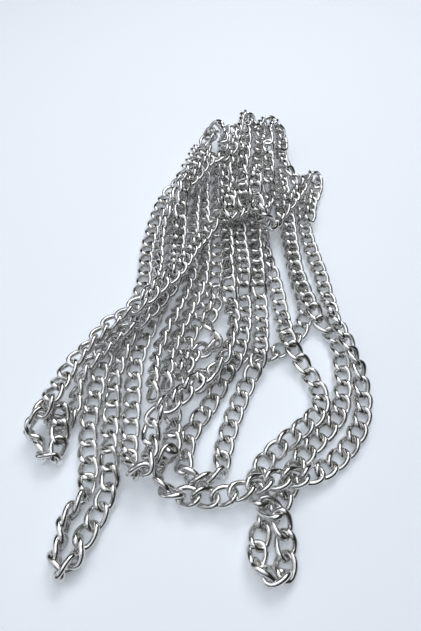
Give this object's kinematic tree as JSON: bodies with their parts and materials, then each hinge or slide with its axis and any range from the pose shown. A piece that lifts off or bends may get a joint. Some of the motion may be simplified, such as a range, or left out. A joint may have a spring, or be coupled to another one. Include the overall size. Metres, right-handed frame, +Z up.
{
  "type": "heap of bag chain",
  "caption": "Heap of nickel-plated curb chain for bags: one long chain dropped in long folds, low at the front and piled up in short folds at the back.",
  "frame": {"origin": "middle of the heap's plan box, on the floor that it lies on", "axes": "+Z up from the floor, +Y to the piled-up back of the heap, +X to the right as seen from the front"},
  "size_m": [0.1835, 0.3583, 0.0366],
  "materials": {
    "nickel_plated_steel": "bright nickel plating over steel wire"
  },
  "bodies": {
    "root": {"under_run_left": "nickel_plated_steel", "back_hump_middle": "nickel_plated_steel", "under_run_right": "nickel_plated_steel", "right_upper_run": "nickel_plated_steel", "cross_run": "nickel_plated_steel", "right_inner_run": "nickel_plated_steel", "right_tail": "nickel_plated_steel", "centre_right_run": "nickel_plated_steel", "back_hump_right": "nickel_plated_steel", "centre_run_right": "nickel_plated_steel", "front_fold_centre": "nickel_plated_steel", "centre_run_middle": "nickel_plated_steel", "centre_left_run": "nickel_plated_steel", "front_band": "nickel_plated_steel", "right_outer_run": "nickel_plated_steel", "back_hump_outer": "nickel_plated_steel", "left_fan_sixth": "nickel_plated_steel", "fan_fold": "nickel_plated_steel", "left_fan_fifth": "nickel_plated_steel", "left_fan_fourth": "nickel_plated_steel", "left_fan_third": "nickel_plated_steel", "front_fold_left": "nickel_plated_steel", "centre_run_left": "nickel_plated_steel", "back_hump_left": "nickel_plated_steel", "left_edge_run": "nickel_plated_steel", "left_tail_under": "nickel_plated_steel", "left_tail": "nickel_plated_steel", "left_inner_run": "nickel_plated_steel", "back_top_run": "nickel_plated_steel", "left_top_run": "nickel_plated_steel", "left_hook_under": "nickel_plated_steel", "left_hook": "nickel_plated_steel", "left_diagonal_run": "nickel_plated_steel", "top_fold_left": "nickel_plated_steel", "top_run_middle": "nickel_plated_steel", "top_fold_middle": "nickel_plated_steel", "top_run_right": "nickel_plated_steel", "right_edge_end": "nickel_plated_steel", "hook_run_right": "nickel_plated_steel"}
  },
  "joints": []
}
